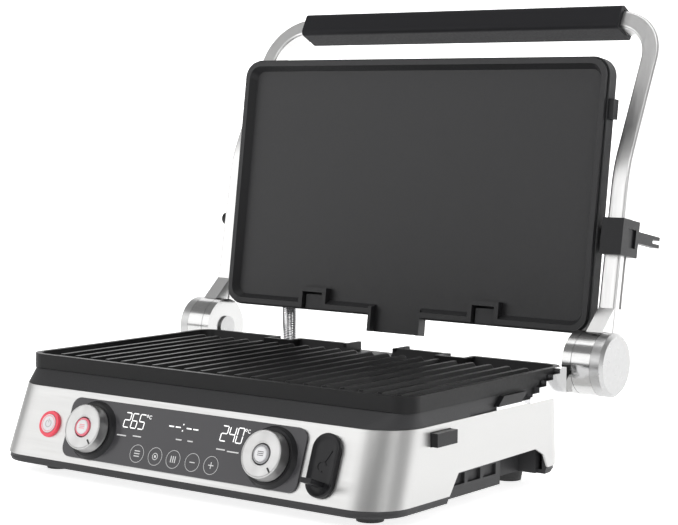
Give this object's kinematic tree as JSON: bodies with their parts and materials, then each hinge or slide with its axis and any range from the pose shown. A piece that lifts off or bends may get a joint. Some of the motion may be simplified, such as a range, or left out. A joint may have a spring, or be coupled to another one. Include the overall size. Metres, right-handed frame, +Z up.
{
  "type": "contact grill",
  "caption": "Open contact grill: ribbed lower plate, flat upper plate in a lid hung from a U-shaped handle, steel base with display, two dials and probe cover.",
  "frame": {"origin": "on the table, under the middle of the bounding box with the lid standing open", "axes": "+Z up, -Y towards the person at the controls, +X to their right"},
  "size_m": [0.4212, 0.4034, 0.3658],
  "materials": {
    "brushed_steel": "fine horizontal brush",
    "satin_steel": "satin with polished bevel",
    "black_plastic": "fine grain",
    "gloss_black": "semi gloss",
    "plate_coating": "satin non-stick coating",
    "reflector_aluminium": "bright rolled sheet",
    "element_steel": "heat-darkened",
    "conduit_chrome": "polished",
    "dark_glass": "gloss",
    "board": "coated laminate",
    "power_red": "lit ring",
    "button_silver": "silver",
    "foot_rubber": "soft"
  },
  "bodies": {
    "base": {"base_screws": "satin_steel", "base_tray": "black_plastic", "control_board": "board", "cord_gland": "black_plastic", "deck_frame": "black_plastic", "display_glass": "dark_glass", "encoder_left": "black_plastic", "encoder_right": "black_plastic", "foot_front_left": "foot_rubber", "foot_front_right": "foot_rubber", "foot_rear_left": "foot_rubber", "foot_rear_right": "foot_rubber", "hinge_bracket_left": "brushed_steel", "hinge_bracket_right": "brushed_steel", "hinge_pin_left": "satin_steel", "hinge_pin_right": "satin_steel", "knob_ring_left": "black_plastic", "knob_ring_right": "black_plastic", "lower_element": "element_steel", "lower_reflector": "reflector_aluminium", "lower_thermostat": "black_plastic", "power_board": "board", "power_ring": "power_red", "power_switch": "black_plastic", "probe_jack": "black_plastic", "rear_catches": "black_plastic", "steel_band": "brushed_steel"},
    "handle": {"handle_bar": "brushed_steel", "handle_grip": "gloss_black", "hinge_drum_left": "brushed_steel", "hinge_drum_right": "brushed_steel", "drum_cap_left": "satin_steel", "drum_cap_right": "satin_steel", "float_pin_left": "gloss_black", "float_pin_right": "brushed_steel", "conduit": "conduit_chrome"},
    "lid_housing": {"upper_shell": "black_plastic", "upper_reflector": "reflector_aluminium", "upper_element": "element_steel", "upper_thermostat": "black_plastic", "upper_catches": "black_plastic"},
    "lock_slider": {"lock_slider": "gloss_black"},
    "lower_plate": {"lower_plate": "plate_coating"},
    "upper_plate": {"upper_plate": "plate_coating"},
    "knob_left": {"knob_left": "brushed_steel"},
    "knob_right": {"knob_right": "brushed_steel"},
    "sear_button_left": {"sear_button_left": "button_silver"},
    "sear_button_right": {"sear_button_right": "button_silver"},
    "power_button": {"power_button": "button_silver"},
    "release_button_lower": {"release_button_lower": "gloss_black"},
    "release_button_upper": {"release_button_upper": "gloss_black"},
    "probe_cover": {"probe_cover": "gloss_black"},
    "height_slider": {"height_slider": "brushed_steel", "height_thumb": "gloss_black"},
    "drip_tray": {"drip_tray": "black_plastic"}
  },
  "joints": [
    {"name": "lid_hinge", "type": "hinge", "parent": "base", "child": "handle", "pos_m": [0, 0.08635, 0.0871], "axis": [-1, 0, 0], "range_deg": [-97.24, 82.76], "deforming": ["conduit"]},
    {"name": "lid_float", "type": "hinge", "parent": "handle", "child": "lid_housing", "pos_m": [0, 0.11914, 0.18076], "axis": [1, 0, 0], "range_deg": [0, 5]},
    {"name": "lock_slide", "type": "slide", "parent": "handle", "child": "lock_slider", "axis": [0, -0.1668, -0.986], "range_m": [0, 0.037]},
    {"name": "lower_plate_lift", "type": "slide", "parent": "base", "child": "lower_plate", "axis": [0, 0, 1], "range_m": [0, 0.06]},
    {"name": "upper_plate_release", "type": "slide", "parent": "lid_housing", "child": "upper_plate", "axis": [0, -0.992, 0.126], "range_m": [0, 0.05]},
    {"name": "knob_left_turn", "type": "hinge", "parent": "base", "child": "knob_left", "pos_m": [-0.0844, -0.1799, 0.0409], "axis": [0, -0.9401, 0.3409], "continuous": true},
    {"name": "sear_left_press", "type": "slide", "parent": "base", "child": "sear_button_left", "axis": [0, 0.9401, -0.3409], "range_m": [0, 0.0012], "stiffness_N_per_m": 500},
    {"name": "knob_right_turn", "type": "hinge", "parent": "base", "child": "knob_right", "pos_m": [0.0844, -0.1799, 0.0409], "axis": [0, -0.9401, 0.3409], "continuous": true},
    {"name": "sear_right_press", "type": "slide", "parent": "base", "child": "sear_button_right", "axis": [0, 0.9401, -0.3409], "range_m": [0, 0.0012], "stiffness_N_per_m": 500},
    {"name": "power_press", "type": "slide", "parent": "base", "child": "power_button", "axis": [0, 0.9401, -0.3409], "range_m": [0, 0.0014], "stiffness_N_per_m": 500},
    {"name": "lower_release_press", "type": "slide", "parent": "base", "child": "release_button_lower", "axis": [-1, 0, 0], "range_m": [0, 0.0025], "stiffness_N_per_m": 800},
    {"name": "upper_release_press", "type": "slide", "parent": "lid_housing", "child": "release_button_upper", "axis": [-1, 0, 0], "range_m": [0, 0.001], "stiffness_N_per_m": 800},
    {"name": "probe_cover_hinge", "type": "hinge", "parent": "base", "child": "probe_cover", "pos_m": [0.1295, -0.16779, 0.06023], "axis": [-1, 0, 0], "range_deg": [0, 85]},
    {"name": "height_slide", "type": "slide", "parent": "base", "child": "height_slider", "axis": [0, -1, 0], "range_m": [0, 0.03]},
    {"name": "drip_tray_slide", "type": "slide", "parent": "base", "child": "drip_tray", "axis": [0, 1, 0], "range_m": [0, 0.04]}
  ]
}
